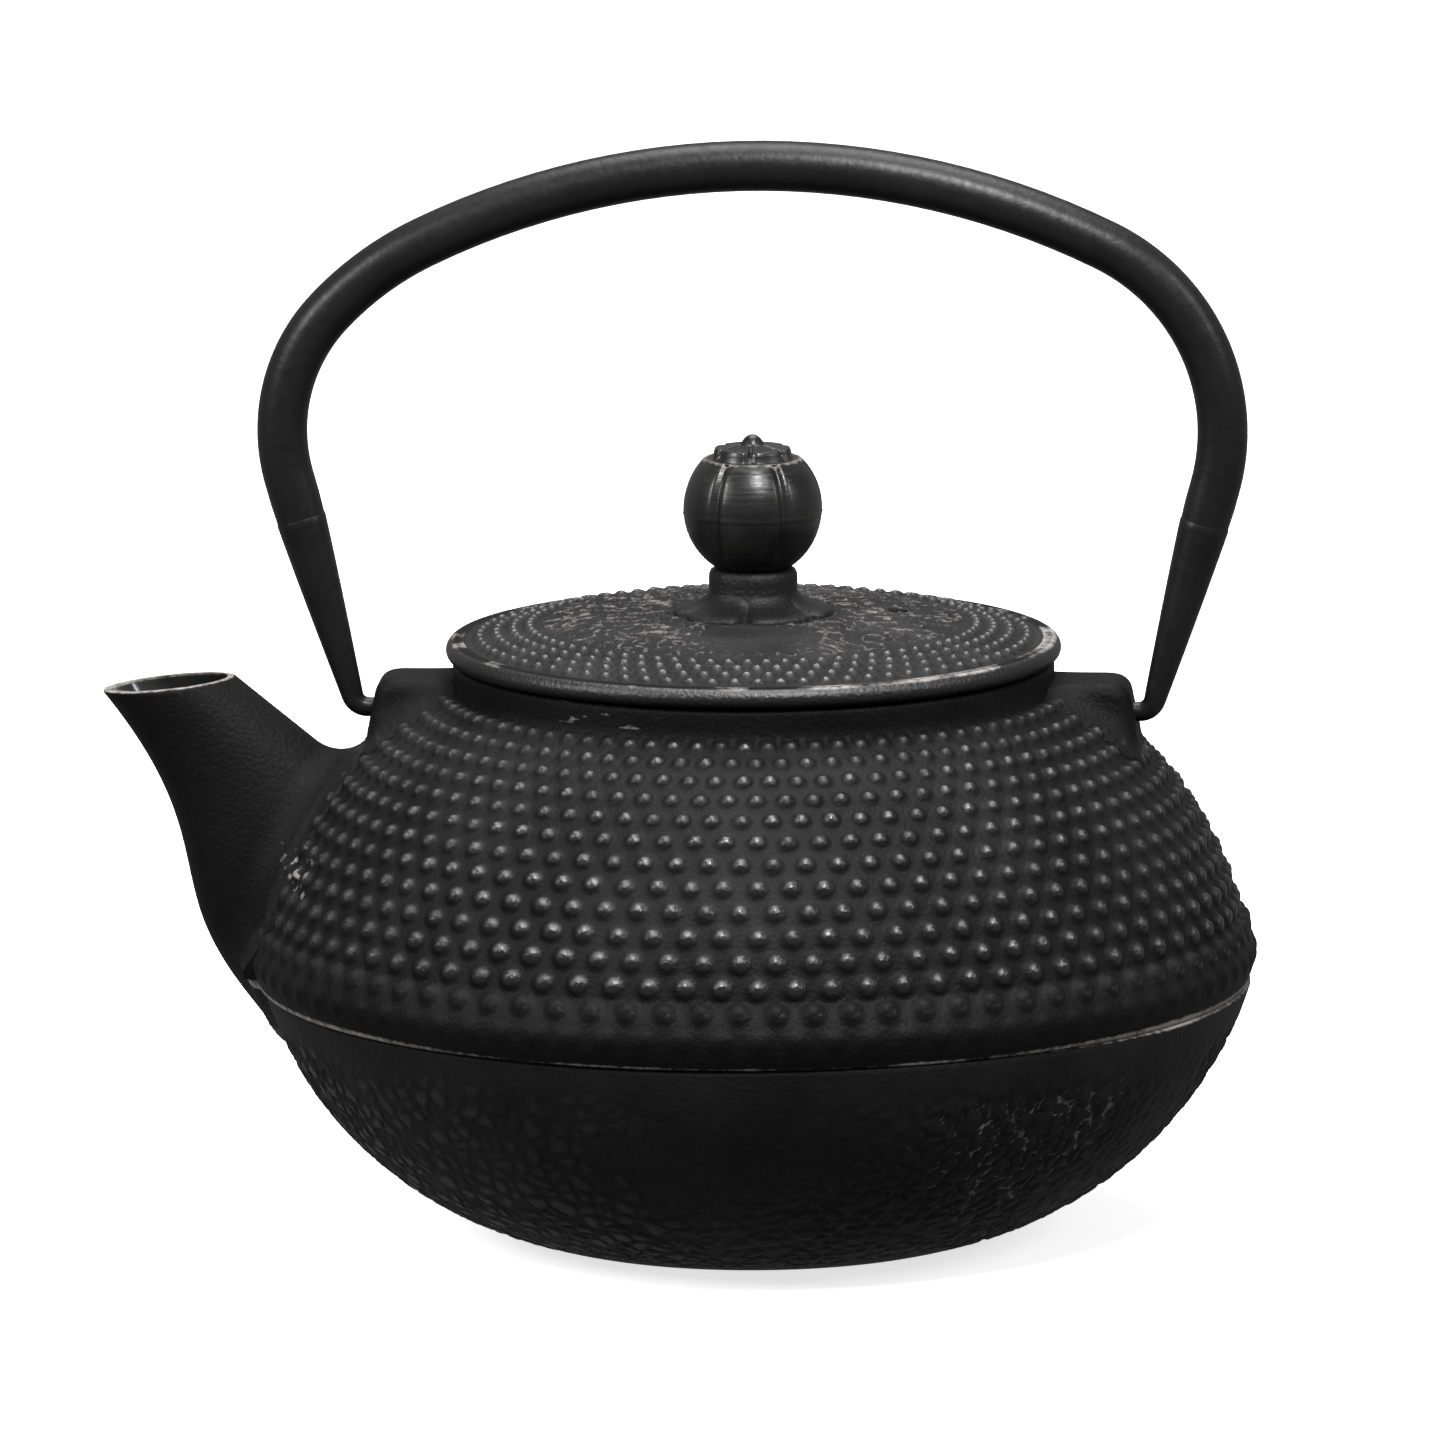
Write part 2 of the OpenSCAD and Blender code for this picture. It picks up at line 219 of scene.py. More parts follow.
def noise3(points, scale):
    """Perlin noise at each point (in mm), with features about scale mm wide."""
    return np.array([noise.noise(Vector(p)) for p in points / scale])


def finish_piece(ob, body, slot, material, *nodes, angle=40):
    """Shades a piece, gives it its material and tells the frame where it belongs."""
    shade(ob, angle)
    ob.data.materials.clear()
    ob.data.materials.append(material)
    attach(ob, body)
    if nodes:
        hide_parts(*nodes)


# ---- materials ----

def node_material(name):
    mat = bpy.data.materials.new(name)
    mat.use_nodes = True
    tree = mat.node_tree
    return mat, tree, tree.nodes["Principled BSDF"]


def feed(tree, socket, value):
    """Links an output to an input socket, or sets the socket to a number or a colour."""
    if isinstance(value, bpy.types.NodeSocket):
        tree.links.new(value, socket)
    else:
        socket.default_value = (*value, 1) if isinstance(value, tuple) else value


def add(tree, kind, **inputs):
    node = tree.nodes.new(kind)
    for key, value in inputs.items():
        node.inputs[key.replace("_", " ")].default_value = value
    return node


def ramp(tree, source, stops):
    """A colour ramp over source, from (position, grey or colour) stops."""
    node = tree.nodes.new("ShaderNodeValToRGB")
    points = node.color_ramp.elements
    while len(points) < len(stops):
        points.new(0.5)
    for point, (position, colour) in zip(points, stops):
        point.position = position
        point.color = (*colour, 1) if isinstance(colour, tuple) else (colour, colour, colour, 1)
    tree.links.new(source, node.inputs["Fac"])
    return node.outputs["Color"]


def textured(tree, kind, scale, **inputs):
    """A 3D texture in the object's own metres."""
    where = tree.nodes.new("ShaderNodeTexCoord")
    texture = add(tree, kind, Scale=scale, **inputs)
    tree.links.new(where.outputs["Object"], texture.inputs["Vector"])
    return texture


def lined(tree, along, across, detail):
    """Noise drawn out into fine level lines, for turned and rolled metal."""
    where = tree.nodes.new("ShaderNodeTexCoord")
    stretch = add(tree, "ShaderNodeMapping", Scale=(along, along, across))
    tree.links.new(where.outputs["Object"], stretch.inputs["Vector"])
    texture = add(tree, "ShaderNodeTexNoise", Scale=1.0, Detail=detail)
    tree.links.new(stretch.outputs["Vector"], texture.inputs["Vector"])
    return texture.outputs["Fac"]


def mix(tree, factor, a, b):
    """The colour a where factor is 0 and b where it is 1."""
    node = tree.nodes.new("ShaderNodeMix")
    node.data_type = "RGBA"
    colour_a, colour_b, colour_out = 6, 7, 2
    feed(tree, node.inputs[0], factor)
    feed(tree, node.inputs[colour_a], a)
    feed(tree, node.inputs[colour_b], b)
    return node.outputs[colour_out]


def multiply(tree, a, b):
    node = tree.nodes.new("ShaderNodeMath")
    node.operation = "MULTIPLY"
    feed(tree, node.inputs[0], a)
    feed(tree, node.inputs[1], b)
    return node.outputs[0]


def bump(tree, shader, layers):
    """Adds bump layers (height socket, depth in metres) one over the other."""
    normal = None
    for height, depth in layers:
        node = add(tree, "ShaderNodeBump", Strength=1.0, Distance=depth)
        tree.links.new(height, node.inputs["Height"])
        if normal:
            tree.links.new(normal, node.inputs["Normal"])
        normal = node.outputs["Normal"]
    tree.links.new(normal, shader.inputs["Normal"])


def attribute(tree, name):
    """A number stored at each point of the mesh by set_attribute."""
    node = tree.nodes.new("ShaderNodeAttribute")
    node.attribute_name = name
    return node.outputs["Fac"]


# The knob's bare colour is also a painted highlight along its top edge.
RUBBED_IRON, BARE_IRON, BARE_KNOB_AND_HIGHLIGHT = (0.0040, 0.0038, 0.0040), (0.22, 0.21, 0.20), (0.2, 0.19, 0.18)


def cast_iron():
    """Blackened iron with a fine grain: a matt grey ground that is partly a dusting and partly painted
    light from above, black rubbed points, bright bare edges.
    """
    mat, tree, shader = node_material("cast_iron_skin")
    patches = textured(tree, "ShaderNodeTexNoise", 55.0, Detail=6.0, Roughness=0.62).outputs["Fac"]
    grain = textured(tree, "ShaderNodeTexNoise", 1900.0, Detail=4.0, Roughness=0.62).outputs["Fac"]
    pits = textured(tree, "ShaderNodeTexVoronoi", 1250.0).outputs["Distance"]
    broken = textured(tree, "ShaderNodeTexNoise", 700.0, Detail=5.0, Roughness=0.7).outputs["Fac"]
    black = ramp(tree, patches, [(0.3, (0.0016, 0.0015, 0.0017)), (0.7, RUBBED_IRON)])
    # Painted light: this lighter grey ground stands partly for a dusting and partly for light falling from
    # above on the shoulder and the lid.
    dust_and_top_light_grey = ramp(tree, patches, [(0.3, (0.012, 0.0116, 0.012)), (0.7, (0.023, 0.022, 0.0224))])
    greying, gloss, wear = attribute(tree, "greying"), attribute(tree, "gloss"), attribute(tree, "wear")
    settled = ramp(tree, grain, [(0.38, 0.7), (0.62, 1.0)])
    colour = mix(tree, multiply(tree, greying, settled), black, dust_and_top_light_grey)
    colour = mix(tree, gloss, colour, RUBBED_IRON)
    speck = ramp(tree, grain, [(0.62, 0.0), (0.82, 0.5)])
    colour = mix(tree, speck, colour, (0.018, 0.017, 0.017))
    worn = ramp(tree, multiply(tree, wear, broken), [(0.22, 0.0), (0.5, 1.0)])
    colour = mix(tree, worn, colour, BARE_IRON)
    tree.links.new(colour, shader.inputs["Base Color"])
    rough = ramp(tree, grain, [(0.3, 0.48), (0.7, 0.64)])
    rough = mix(tree, gloss, rough, (0.25, 0.25, 0.25))
    tree.links.new(rough, shader.inputs["Roughness"])
    shine = mix(tree, gloss, (0.08, 0.08, 0.08), (0.75, 0.75, 0.75))
    tree.links.new(shine, shader.inputs["Specular IOR Level"])
    bump(tree, shader, [(grain, 0.00012), (pits, 0.00007)])
    return mat


def satin_iron():
    """The knob: smoother and glossier, with fine turning marks round it."""
    mat, tree, shader = node_material("satin_iron")
    rings = lined(tree, 120.0, 2600.0, 4.0)
    patches = textured(tree, "ShaderNodeTexNoise", 160.0, Detail=5.0).outputs["Fac"]
    base = ramp(tree, patches, [(0.35, (0.004, 0.004, 0.0042)), (0.7, (0.012, 0.0112, 0.0108))])
    # On the knob this mark is a bright band round the top edge: partly bare worn iron, partly a painted
    # highlight.
    wear = attribute(tree, "wear")
    broken = textured(tree, "ShaderNodeTexNoise", 900.0, Detail=4.0).outputs["Fac"]
    worn = ramp(tree, multiply(tree, wear, broken), [(0.25, 0.0), (0.55, 1.0)])
    tree.links.new(mix(tree, worn, base, BARE_KNOB_AND_HIGHLIGHT), shader.inputs["Base Color"])
    tree.links.new(ramp(tree, rings, [(0.35, 0.24), (0.65, 0.38)]), shader.inputs["Roughness"])
    shader.inputs["Specular IOR Level"].default_value = 0.3
    bump(tree, shader, [(rings, 0.00004), (patches, 0.00015)])
    return mat


def black_paint():
    """Satin black paint over steel tube, with a faint orange peel."""
    mat, tree, shader = node_material("satin_black_paint")
    peel = textured(tree, "ShaderNodeTexNoise", 900.0, Detail=2.0).outputs["Fac"]
    greying = textured(tree, "ShaderNodeTexNoise", 60.0, Detail=6.0, Roughness=0.7).outputs["Fac"]
    tree.links.new(ramp(tree, greying, [(0.3, (0.0035, 0.0035, 0.0038)), (0.75, (0.008, 0.0077, 0.0077))]),
                   shader.inputs["Base Color"])
    tree.links.new(ramp(tree, peel, [(0.3, 0.34), (0.7, 0.44)]), shader.inputs["Roughness"])
    shader.inputs["Specular IOR Level"].default_value = 0.2
    bump(tree, shader, [(peel, 0.00006)])
    return mat


def enamel():
    """Opaque glossy black glass coat, slightly uneven."""
    mat, tree, shader = node_material("black_enamel")
    flow = textured(tree, "ShaderNodeTexNoise", 120.0, Detail=3.0).outputs["Fac"]
    tree.links.new(ramp(tree, flow, [(0.3, (0.006, 0.006, 0.0065)), (0.7, (0.014, 0.0135, 0.0135))]),
                   shader.inputs["Base Color"])
    tree.links.new(ramp(tree, flow, [(0.3, 0.12), (0.7, 0.22)]), shader.inputs["Roughness"])
    bump(tree, shader, [(flow, 0.0004)])
    return mat


def steel(name, roughness):
    """Pressed stainless steel with fine rolling marks."""
    mat, tree, shader = node_material(name)
    lines = lined(tree, 200.0, 4000.0, 3.0)
    shader.inputs["Metallic"].default_value = 1.0
    tree.links.new(ramp(tree, lines, [(0.3, (0.5, 0.5, 0.49)), (0.7, (0.66, 0.66, 0.65))]),
                   shader.inputs["Base Color"])
    tree.links.new(ramp(tree, lines, [(0.3, roughness), (0.7, roughness + 0.12)]),
                   shader.inputs["Roughness"])
    bump(tree, shader, [(lines, 0.00002)])
    return mat


IRON, SATIN, PAINT, ENAMEL_MAT = cast_iron(), satin_iron(), black_paint(), enamel()
STEEL, MESH_STEEL = steel("pressed_steel", 0.22), steel("mesh_steel", 0.3)


# ---- pot ----

def nub_row(j):
    """(r, z) of the middle of nub row j on the shoulder; row 0 lies on the waist bead."""
    if j == 0:
        return WAIST_C[0] + WAIST_R, 45.4
    a = radians(lerp(NUB_FIRST_DEG, NUB_LAST_DEG, (j - 1) / (NUB_ROWS - 1)))
    r = SHOULDER_R + 0.3
    return SHOULDER_C[0] + r * cos(a), SHOULDER_C[1] + r * sin(a)


NUB_JITTER = rng.uniform(-1, 1, (NUB_ROWS + 1, NUBS, 3))


def nub_height(theta, r, z):
    """Height of the cast nubs at each point of the shoulder, from its angle, radius and height."""
    height = np.zeros_like(theta)
    for j in range(NUB_ROWS + 1):
        row_r, row_z = nub_row(j)
        up = (j - 1) / (NUB_ROWS - 1) if j else -0.1
        near = (np.abs(z - row_z) < NUB_REACH) & (np.abs(r - row_r) < NUB_REACH)
        if not near.any():
            continue
        t = theta[near] / (2 * pi) * NUBS - 0.5 * (j % 2)
        i = np.round(t).astype(int) % NUBS
        jitter = NUB_JITTER[j, i]
        u = (t - np.round(t)) * 2 * pi / NUBS * row_r + 0.10 * jitter[:, 0]
        v = np.hypot(r[near] - row_r, z[near] - row_z) * np.sign(z[near] - row_z) + 0.10 * jitter[:, 1]
        half_w = lerp(2.15, 1.6, max(up, 0))
        half_h = np.where(v > 0, lerp(1.75, 1.5, max(up, 0)), lerp(2.5, 1.6, min(1, max(up, 0) * 1.6)))
        q = np.minimum(np.hypot(u / half_w, v / half_h), 1)
        peak = (0.42 if j == 0 else lerp(1.25, 1.0, up)) * (1 + 0.1 * jitter[:, 2])
        height[near] = np.maximum(height[near], peak * (1 - q * q) ** 1.3)
    return height


def arc_r(centre, r, z):
    """Radius at height z of the outer half of a section arc."""
    return centre[0] + sqrt(max(0.0, r ** 2 - (z - centre[1]) ** 2))


def pot_profile():
    """(r, z) points up the outside: foot, bowl, mould seam, waist bead, shoulder, collar."""
    base = [[0.2, 0.0], [12, 0.0], [24, 0.0], [32, 0.0], [34.4, 0.02], [35.6, 0.12]]
    lower = section_arc(BOWL_C, BOWL_R, 0.35, SEAM_Z - 0.5, 0.6)
    lip_r = arc_r(WAIST_C, WAIST_R, WAIST_FOOT_Z + 0.3)
    seam = [[78.45, SEAM_Z - 0.2], [78.4, SEAM_Z + 0.05], [78.2, SEAM_Z + 0.2], [78.3, SEAM_Z + 0.4],
            [lip_r - 0.25, SEAM_Z + 0.55], [lip_r - 0.02, SEAM_Z + 0.75]]
    waist = section_arc(WAIST_C, WAIST_R, WAIST_FOOT_Z + 0.4, 46.4, 0.45)
    flare = []
    for h in np.arange(46.8, 53.9, 0.42):
        bead, plain = arc_r(WAIST_C, WAIST_R, h), arc_r(SHOULDER_C, SHOULDER_R, h)
        gap = max(1.6 - abs(bead - plain), 0.0)
        flare.append([max(bead, plain) + gap * gap / 6.4, h])
    shoulder = section_arc(SHOULDER_C, SHOULDER_R, 54.1, SHOULDER_END_Z, 0.42)
    foot = [[47.95, 87.0], [47.75, 87.8]]
    round_r = 0.8
    collar = [[COLLAR_R, z] for z in np.linspace(88.4, COLLAR_TOP - round_r, 5)]
    edge = [[COLLAR_R - round_r + round_r * cos(a), COLLAR_TOP - round_r + round_r * sin(a)]
            for a in np.linspace(0.4, pi / 2, 4)]
    top = [[40, COLLAR_TOP], [20, COLLAR_TOP], [0.2, COLLAR_TOP]]
    return np.array(base + lower.tolist() + seam + waist.tolist() + flare + shoulder.tolist() + foot
                    + collar + edge + top)


def cobbles(points, size):
    """How far each point is inside its cell of a crackled pattern: 0 on a crack, about 1 mid-cell."""
    warped = points + 0.35 * size * np.column_stack([noise3(points + k, size * 1.3) for k in (7, 19, 31)])
    near = [noise.voronoi(Vector(p))[0] for p in warped / size]
    return np.clip(np.array([d[1] - d[0] for d in near]) * 2.2, 0, 1)


def bowl_relief(points):
    """Cast relief of the lower bowl: the cobbled height, its grey veins and its glossy bumps."""
    x, y, z = points.T
    cell = cobbles(points, 3.1)
    fine = cobbles(points + 70, 1.7)
    patchy = noise3(points + 90, 24.0)
    smooth_front = np.exp(-((x + 5) / 26) ** 2) * (y < 0) * smooth(z, 8, 22)
    amount = np.clip(0.85 + 0.8 * patchy - 0.8 * smooth_front, 0.12, 1)
    fade = smooth(z, 0.5, 3.0) * (1 - smooth(z, SEAM_Z - 9, SEAM_Z - 2.5))
    height = (0.42 * smooth(cell, 0.0, 0.75) + 0.12 * fine - 0.42) * amount * fade
    veins = (1 - smooth(cell, 0.06, 0.3)) * smooth(x, 8, 40) * fade * smooth(patchy, -0.25, 0.15)
    bumps = smooth(cell, 0.55, 1.0) * smooth(-x, -5, 35) * amount * fade
    return height, veins, bumps


def pot_outside():
    """The pot's outer skin of revolution with its nubs and cast relief."""
    profile = pot_profile()
    tangent = np.gradient(profile, axis=0)
    tangent /= np.linalg.norm(tangent, axis=1)[:, None]
    normal = np.column_stack([tangent[:, 1], -tangent[:, 0]])
    cols = NUBS * 12
    theta = np.linspace(0, 2 * pi, cols, endpoint=False)
    r = np.repeat(profile[:, :1], cols, 1)
    z = np.repeat(profile[:, 1:], cols, 1)
    th = np.repeat(theta[None], len(profile), 0)
    lift = np.zeros_like(r)
    shoulder = (z > NUB_LOW_Z) & (z < NUB_HIGH_Z) & (r > COLLAR_R + 0.4)
    lift[shoulder] = nub_height(th[shoulder], r[shoulder], z[shoulder])
    bowl = (z > 0.3) & (z < SEAM_Z - 2) & (r > 36)
    points = np.column_stack([(r * np.cos(th))[bowl], (r * np.sin(th))[bowl], z[bowl]])
    lift[bowl] = bowl_relief(points)[0]
    r = r + lift * normal[:, :1]
    z = z + lift * normal[:, 1:]
    shift = np.where(z > SEAM_Z + 0.2, -MOULD_SHIFT, MOULD_SHIFT)
    shift = shift * smooth(z, 20, 38) * (1 - smooth(z, 60, 80))
    rings = np.stack([r * np.cos(th) + shift, r * np.sin(th), z], axis=-1)
    return skin("pot", rings)


def spout_section(t):
    """Middle, direction across, half height and half width of the spout's oval, from root to mouth."""
    top = lerp(SPOUT_TOP[0], SPOUT_TOP[1], t)
    b = SPOUT_BOTTOM
    bottom = (1 - t) ** 3 * b[0] + 3 * (1 - t) ** 2 * t * b[1] + 3 * (1 - t) * t * t * b[2] + t ** 3 * b[3]
    reach = np.linalg.norm(bottom - top) / 2
    return (top + bottom) / 2, (bottom - top) / (2 * reach), reach, lerp(*SPOUT_HALF_W, sqrt(t))


def height_over_pot(points):
    """Distance of points outside the pot's plain skin, negative inside it."""
    r = np.hypot(points[:, 0], points[:, 1])
    z = points[:, 2]
    shoulder = np.hypot(r - SHOULDER_C[0], z - SHOULDER_C[1]) - SHOULDER_R
    bowl = np.hypot(r - BOWL_C[0], z - BOWL_C[1]) - BOWL_R
    waist = np.hypot(r - WAIST_C[0], z - WAIST_C[1]) - WAIST_R
    return np.minimum(np.where(z > WAIST_C[1], shoulder, bowl), waist)


def leaning(points, directions):
    """How squarely each direction lies along the pot's skin: 1 along it, 0 straight out of it."""
    r = np.hypot(points[:, 0], points[:, 1])
    z = points[:, 2]
    centre_r = np.where(z > WAIST_C[1], SHOULDER_C[0], BOWL_C[0])
    centre_z = np.where(z > WAIST_C[1], SHOULDER_C[1], BOWL_C[1])
    sideways = points[:, :2] / r[:, None] * (r - centre_r)[:, None]
    normal = np.column_stack([sideways, z - centre_z])
    normal /= np.linalg.norm(normal, axis=1)[:, None]
    return np.clip(1.25 - 1.35 * np.abs((normal * directions).sum(1)), 0, 1)


def fillet(height, radius):
    """How far a wall standing on a surface spreads at each height above it."""
    h = np.clip(height, 0, radius)
    return radius - np.sqrt(radius ** 2 - (radius - h) ** 2)


def spout(name, is_bore, inset, over, rows, cols):
    """The spout's outside, or its bore, as ovals from root to mouth; the last one sticks out by over."""
    rings = []
    a = np.linspace(0, 2 * pi, cols, endpoint=False)
    for t in np.linspace(0, 1, rows):
        middle, along, reach, half_w = spout_section(t)
        d = is_bore * lerp(*SPOUT_WALL, t) + inset
        out = np.array([along[1], -along[0]]) * (over if t == 1 else 0)
        ring = np.zeros((cols, 3))
        outward = np.zeros((cols, 3))
        xz = middle + out + np.outer(np.cos(a), along) * (reach - d)
        ring[:, 0], ring[:, 2] = xz[:, 0], xz[:, 1]
        ring[:, 1] = (half_w - d) * np.sin(a)
        outward[:, 0], outward[:, 2] = along[0] * np.cos(a), along[1] * np.cos(a)
        outward[:, 1] = np.sin(a)
        if not is_bore:
            spread = fillet(height_over_pot(ring), 6.5) * leaning(ring, outward)
            ring += outward * spread[:, None]
        rings.append(ring)
    rings = np.array(rings)
    if not is_bore:
        rings = lip(rings)
    return skin(name, rings)


def lip(rings):
    """Rounds the outer edge at the mouth."""
    edge = 0.5
    mouth = rings[-1]
    inward = mouth.mean(0) - mouth
    inward /= np.linalg.norm(inward, axis=1)[:, None]
    up = mouth.mean(0) - rings[-3].mean(0)
    up /= np.linalg.norm(up)
    rounded = [mouth - up * edge]
    for a in (30, 60, 90):
        moved_in = mouth + inward * edge * (1 - cos(radians(a)))
        rounded.append(moved_in - up * edge * (1 - sin(radians(a))))
    return np.concatenate([rings[:-1], np.array(rounded)])


def room_profile(inset, top):
    """Section of the pot's room, made smaller by inset and reaching up through the throat to top."""
    lower = section_arc(BOWL_C, BOWL_R - WALL - inset, WALL + inset, SEAM_Z, 2.5).tolist()
    shoulder = section_arc(SHOULDER_C, SHOULDER_R - WALL - inset, WAIST_TOP_Z,
                           LEDGE_Z - LEDGE_T - inset, 2.5).tolist()
    base = [[0.2, WALL + inset], [18, WALL + inset]]
    waist = [[ROOM_WAIST_R - inset, WAIST_C[1]]]
    throat = [[THROAT_R - inset, LEDGE_Z - LEDGE_T - inset], [THROAT_R - inset, top], [0.2, top]]
    return base + lower + waist + shoulder + throat


def hollow(inset, top, over):
    """The room and the spout's bore, joined."""
    ob = revolve("room", room_profile(inset, top), 192)
    boolean(ob, spout("channel", True, inset, over, 40, 64), "UNION")
    return ob


def ear(side):
    """An ear: stacked plan sections with a rounded top, spreading into the shoulder at its foot."""
    rows = []
    round_r = 2.2
    shoulder_z = EAR_TOP - round_r
    for z in np.concatenate([np.linspace(EAR_FOOT_Z, shoulder_z, 32),
                             shoulder_z + round_r * np.sin(np.linspace(0.1, pi / 2, 9))]):
        over = max(0.0, (z - shoulder_z) / round_r)
        round_off = 2.0 * (1 - sqrt(max(0.0, 1 - min(over, 1) ** 2)))
        x_out = EAR_OUT - 1.5 + min(1.5, 0.2 * (EAR_TOP - z)) - round_off
        half = EAR_W / 2 - 0.7 * round_off + 0.08 * (EAR_TOP - z)
        corner = 2.8 - 0.4 * round_off
        ring = [(x_out - corner + corner * cos(a), half - corner + corner * sin(a))
                for a in np.linspace(0, pi / 2, 9)]
        straight = [(lerp(x_out - corner, EAR_ROOT_X, f), half) for f in np.linspace(0.1, 1, 12)]
        upper = ring + straight
        lower = [(x, -y) for x, y in reversed(upper)]
        rows.append([(x, y, z) for x, y in upper + lower])
    rings = np.array(rows)
    flat = rings.reshape(-1, 3)
    spread = fillet(height_over_pot(flat), 4.5).reshape(rings.shape[:2])
    grow_y = np.sign(rings[..., 1]) * np.minimum(1, np.abs(rings[..., 1]) / (EAR_W / 2))
    outer = smooth(rings[..., 0], EAR_OUT - 5, EAR_OUT)
    rings[..., 1] += grow_y * spread * 0.9
    rings[..., 0] += outer * spread * 0.25 * (rings[..., 2] < PIVOT_Z - 2.5)
    rings[..., 0] *= side
    return skin("ear", rings)


def pin_hole(side):
    """The blind hole for a hook pin, wider at the ear's outside."""
    rings = []
    for x, r in ((PIN_HOLE_END_X, PIN_HOLE_R), (60.2, PIN_HOLE_R), (62.5, PIN_HOLE_R + 0.6)):
        turns = np.linspace(0, 2 * pi, 32, endpoint=False)
        rings.append([(side * x, r * cos(t), PIVOT_Z + r * sin(t)) for t in turns])
    return skin("hole", np.array(rings))


def pot_wear(points, r, theta, patchy, on_skin):
    """Bare bright iron: the lip over the seam, the spout's mouth and root, and one side of the collar."""
    x, y, z = points.T
    sides = smooth(np.abs(x), 25, 75)
    seam_lip = np.exp(-((z - SEAM_Z - 0.75) / (0.35 + 0.45 * sides)) ** 2) * on_skin * (r > 77.5)
    wear = seam_lip * (0.5 + 0.4 * patchy + 0.5 * sides)
    middle, along = spout_section(1.0)[:2]
    over_mouth = (points[:, [0, 2]] - middle) @ np.array([along[1], -along[0]])
    wear = np.maximum(wear, (x < -78) * smooth(over_mouth, -0.3, -0.05) * 0.8)
    root = np.exp(-((x + 71) / 4.5) ** 2 - ((z - 61) / 7) ** 2) * (y < -6)
    scuff = smooth(noise3(points + 5, 1.3), 0.0, 0.45) * root
    wear = np.maximum(wear, scuff * 0.9)
    front_left = np.exp(-((theta + 2.0) / 0.35) ** 2)
    scrape = smooth(noise3(points * [1, 1, 2.5], 3.0), 0.05, 0.4) * front_left
    collar = (np.abs(r - COLLAR_R) < 0.5) & (z > 88.2)
    return np.maximum(wear, 0.7 * collar * scrape)


def pot_marks(ob):
    """Where the skin is worn bright or rubbed glossy, and how much of the lighter grey ground it gets:
    partly a dusting, partly painted light from above and painted shade on the right.
    """
    p = coords(ob)
    x, y, z = p.T
    r, theta = np.hypot(x, y), np.arctan2(y, x)
    patchy = smooth(noise3(p * [1, 1, 0.3] + 13, 14.0), -0.2, 0.35)
    on_skin = np.abs(height_over_pot(p)) < 1.7
    wear = pot_wear(p, r, theta, patchy, on_skin)
    nub_band = (z > NUB_LOW_Z) & (z < NUB_HIGH_Z) & (r > COLLAR_R + 0.4) & on_skin
    nubs = np.where(nub_band, nub_height(theta % (2 * pi), r, z), 0)
    gloss = smooth(nubs, 0.45, 0.95)
    veins, bumps = np.zeros(len(p)), np.zeros(len(p))
    low = (z > 0.5) & (z < SEAM_Z - 2) & on_skin
    veins[low], bumps[low] = bowl_relief(p[low])[1:]
    wear = np.maximum(wear, 0.66 * veins)
    gloss = np.maximum(gloss, 0.4 * bumps)
    # Painted light: the shoulder's lighter grey ground is partly a dusting and partly light falling from
    # above; the bowl below the seam is made lighter grey all round.
    shoulder = on_skin * smooth(z, 44, 50) * (1 - smooth(z, 85, 88))
    # Painted shade: the shoulder's grey ground is darker towards the right (+x) side.
    shaded = 1 - 0.5 * smooth(x, 20, 60)
    greying = shoulder * (0.12 + 0.25 * patchy) * shaded + 0.5 * on_skin * (z < SEAM_Z)
    set_attribute(ob, "wear", np.clip(wear, 0, 1.6))
    set_attribute(ob, "gloss", gloss)
    set_attribute(ob, "greying", greying)


def make_pot():
    ob = pot_outside()
    boolean(ob, spout("spout", False, 0.0, 0.0, 110, 128), "UNION")
    for side in (1, -1):
        boolean(ob, ear(side), "UNION")
    boolean(ob, hollow(-0.05, LEDGE_Z + 1, 1), "DIFFERENCE")
    recess = [[0.2, LEDGE_Z], [MOUTH_R, LEDGE_Z], [MOUTH_R, COLLAR_TOP + 1], [0.2, COLLAR_TOP + 1]]
    boolean(ob, revolve("recess", recess, 192), "DIFFERENCE")
    for side in (1, -1):
        boolean(ob, pin_hole(side), "DIFFERENCE")
    ob.name = "pot_casting"
    pot_marks(ob)
    finish_piece(ob, "pot", "cast_iron", IRON, "body")


def make_lining():
    """The enamel coat in the room and the spout."""
    ob = hollow(0.0, LEDGE_Z, -0.3)
    boolean(ob, hollow(ENAMEL, LEDGE_Z + 1, 1), "DIFFERENCE")
    ob.name = "pot_enamel"
    finish_piece(ob, "pot", "enamel", ENAMEL_MAT, "enamel_lining")


# ---- lid ----

def lid_dome(r):
    """Height of the lid's plain top, which sinks from the crown towards the rim."""
    t = np.clip((r - CROWN_R) / (LID_RIM_IN - CROWN_R), 0, 1)
    return lerp(LID_CROWN_Z, LID_Z + LID_RIM_H - 0.35, t * t)


def lid_profile():
    """(r, z) points over the top, round the rim and back under it; and how many are on the top."""
    top_r = np.concatenate([[0.2, 6, 11], np.arange(CROWN_R, LID_RIM_IN - 0.3, 0.4)])
    top = [[r, lid_dome(r)] for r in top_r]
    edge = LID_RIM_H / 2
    step = [[LID_RIM_IN + 0.15, LID_Z + LID_RIM_H - 0.22], [LID_RIM_IN + 0.6, LID_Z + LID_RIM_H]]
    rim = [[LID_R - edge + edge * cos(a), LID_Z + edge + edge * sin(a)]
           for a in np.radians(np.linspace(90, -90, 15))]
    under = [[40.0, LID_Z], [39.9, FLANGE_Z + 0.3], [39.6, FLANGE_Z], [38.3, FLANGE_Z],
             [38.0, FLANGE_Z + 0.3], [37.4, 93.2]]
    inner = [[r, lid_dome(r) - LID_WALL] for r in np.linspace(36.5, 0.2, 10)]
    return np.array(top + step + rim + under + inner), len(top)


